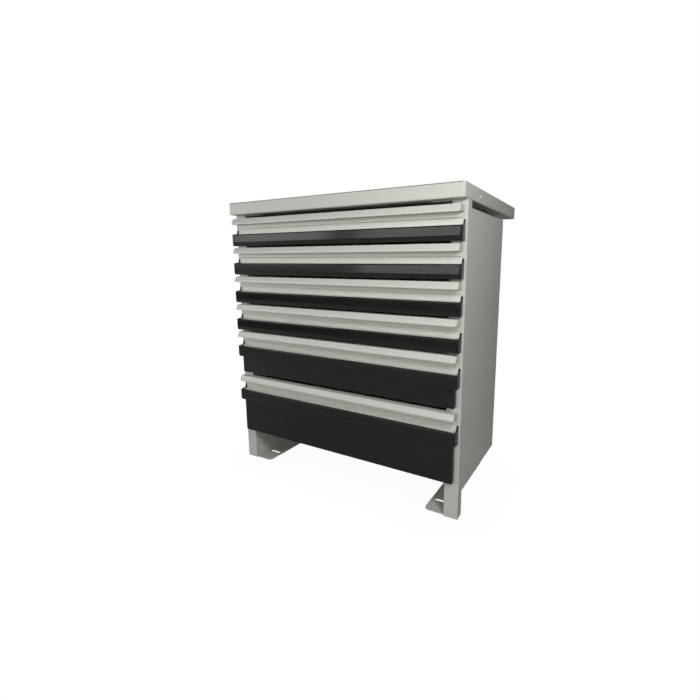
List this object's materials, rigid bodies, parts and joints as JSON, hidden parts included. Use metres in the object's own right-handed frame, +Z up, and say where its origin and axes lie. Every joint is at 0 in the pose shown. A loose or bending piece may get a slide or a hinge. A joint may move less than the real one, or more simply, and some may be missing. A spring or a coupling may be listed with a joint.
{
  "type": "drawer cabinet with open tray top",
  "caption": "Grey sheet-steel cabinet on slotted feet with full-width pull-out drawers, black fronts with long grips, and an open tray on top",
  "frame": {"origin": "middle of the footprint, on the floor", "axes": "+Z up, +Y from the drawer fronts towards the rear, +X to the right as seen from the front"},
  "size_m": [0.77, 0.5269, 0.855],
  "materials": {
    "grey_steel": "satin light grey powder coat",
    "drawer_steel": "satin light grey powder coat",
    "grip_coating": "light grey powder coat on an aluminium extrusion",
    "grip_cap_plastic": "moulded, fine texture",
    "black_moulding": "satin to semi-gloss black",
    "zinc_slides": "bright zinc plate",
    "zinc_screws": "bright zinc plate"
  },
  "bodies": {
    "root": {"side_panel_right": "grey_steel", "side_panel_left": "grey_steel", "inner_panel_right": "grey_steel", "inner_panel_left": "grey_steel", "rear_panel": "grey_steel", "base_rail_front": "grey_steel", "base_rail_rear": "grey_steel", "top_tray": "grey_steel", "tray_bolts_and_nuts": "zinc_screws", "frame_screws": "zinc_screws", "slide_screws": "zinc_screws", "drawer_1_slide_outer": "zinc_slides", "drawer_2_slide_outer": "zinc_slides", "drawer_3_slide_outer": "zinc_slides", "drawer_4_slide_outer": "zinc_slides", "drawer_5_slide_outer": "zinc_slides", "drawer_6_slide_outer": "zinc_slides"},
    "drawer_1": {"drawer_1_box": "drawer_steel", "drawer_1_front": "black_moulding", "drawer_1_grip": "grip_coating", "drawer_1_grip_caps": "grip_cap_plastic", "drawer_1_screws": "zinc_screws", "drawer_1_slide_inner": "zinc_slides"},
    "runner_1": {"drawer_1_slide_middle": "zinc_slides"},
    "drawer_2": {"drawer_2_box": "drawer_steel", "drawer_2_front": "black_moulding", "drawer_2_grip": "grip_coating", "drawer_2_grip_caps": "grip_cap_plastic", "drawer_2_screws": "zinc_screws", "drawer_2_slide_inner": "zinc_slides"},
    "runner_2": {"drawer_2_slide_middle": "zinc_slides"},
    "drawer_3": {"drawer_3_box": "drawer_steel", "drawer_3_front": "black_moulding", "drawer_3_grip": "grip_coating", "drawer_3_grip_caps": "grip_cap_plastic", "drawer_3_screws": "zinc_screws", "drawer_3_slide_inner": "zinc_slides"},
    "runner_3": {"drawer_3_slide_middle": "zinc_slides"},
    "drawer_4": {"drawer_4_box": "drawer_steel", "drawer_4_front": "black_moulding", "drawer_4_grip": "grip_coating", "drawer_4_grip_caps": "grip_cap_plastic", "drawer_4_screws": "zinc_screws", "drawer_4_slide_inner": "zinc_slides"},
    "runner_4": {"drawer_4_slide_middle": "zinc_slides"},
    "drawer_5": {"drawer_5_box": "drawer_steel", "drawer_5_front": "black_moulding", "drawer_5_grip": "grip_coating", "drawer_5_grip_caps": "grip_cap_plastic", "drawer_5_screws": "zinc_screws", "drawer_5_slide_inner": "zinc_slides"},
    "runner_5": {"drawer_5_slide_middle": "zinc_slides"},
    "drawer_6": {"drawer_6_box": "drawer_steel", "drawer_6_front": "black_moulding", "drawer_6_grip": "grip_coating", "drawer_6_grip_caps": "grip_cap_plastic", "drawer_6_screws": "zinc_screws", "drawer_6_slide_inner": "zinc_slides"},
    "runner_6": {"drawer_6_slide_middle": "zinc_slides"}
  },
  "joints": [
    {"name": "drawer_1_slide", "type": "slide", "parent": "root", "child": "drawer_1", "axis": [0, -1, 0], "range_m": [0, 0.3]},
    {"name": "runner_1_slide", "type": "slide", "parent": "root", "child": "runner_1", "axis": [0, -1, 0], "range_m": [0, 0.15]},
    {"name": "drawer_2_slide", "type": "slide", "parent": "root", "child": "drawer_2", "axis": [0, -1, 0], "range_m": [0, 0.3]},
    {"name": "runner_2_slide", "type": "slide", "parent": "root", "child": "runner_2", "axis": [0, -1, 0], "range_m": [0, 0.15]},
    {"name": "drawer_3_slide", "type": "slide", "parent": "root", "child": "drawer_3", "axis": [0, -1, 0], "range_m": [0, 0.3]},
    {"name": "runner_3_slide", "type": "slide", "parent": "root", "child": "runner_3", "axis": [0, -1, 0], "range_m": [0, 0.15]},
    {"name": "drawer_4_slide", "type": "slide", "parent": "root", "child": "drawer_4", "axis": [0, -1, 0], "range_m": [0, 0.3]},
    {"name": "runner_4_slide", "type": "slide", "parent": "root", "child": "runner_4", "axis": [0, -1, 0], "range_m": [0, 0.15]},
    {"name": "drawer_5_slide", "type": "slide", "parent": "root", "child": "drawer_5", "axis": [0, -1, 0], "range_m": [0, 0.3]},
    {"name": "runner_5_slide", "type": "slide", "parent": "root", "child": "runner_5", "axis": [0, -1, 0], "range_m": [0, 0.15]},
    {"name": "drawer_6_slide", "type": "slide", "parent": "root", "child": "drawer_6", "axis": [0, -1, 0], "range_m": [0, 0.3]},
    {"name": "runner_6_slide", "type": "slide", "parent": "root", "child": "runner_6", "axis": [0, -1, 0], "range_m": [0, 0.15]}
  ],
  "couplings": [
    {"joint": "runner_1_slide", "follows": "drawer_1_slide", "ratio": 0.5},
    {"joint": "runner_2_slide", "follows": "drawer_2_slide", "ratio": 0.5},
    {"joint": "runner_3_slide", "follows": "drawer_3_slide", "ratio": 0.5},
    {"joint": "runner_4_slide", "follows": "drawer_4_slide", "ratio": 0.5},
    {"joint": "runner_5_slide", "follows": "drawer_5_slide", "ratio": 0.5},
    {"joint": "runner_6_slide", "follows": "drawer_6_slide", "ratio": 0.5}
  ]
}
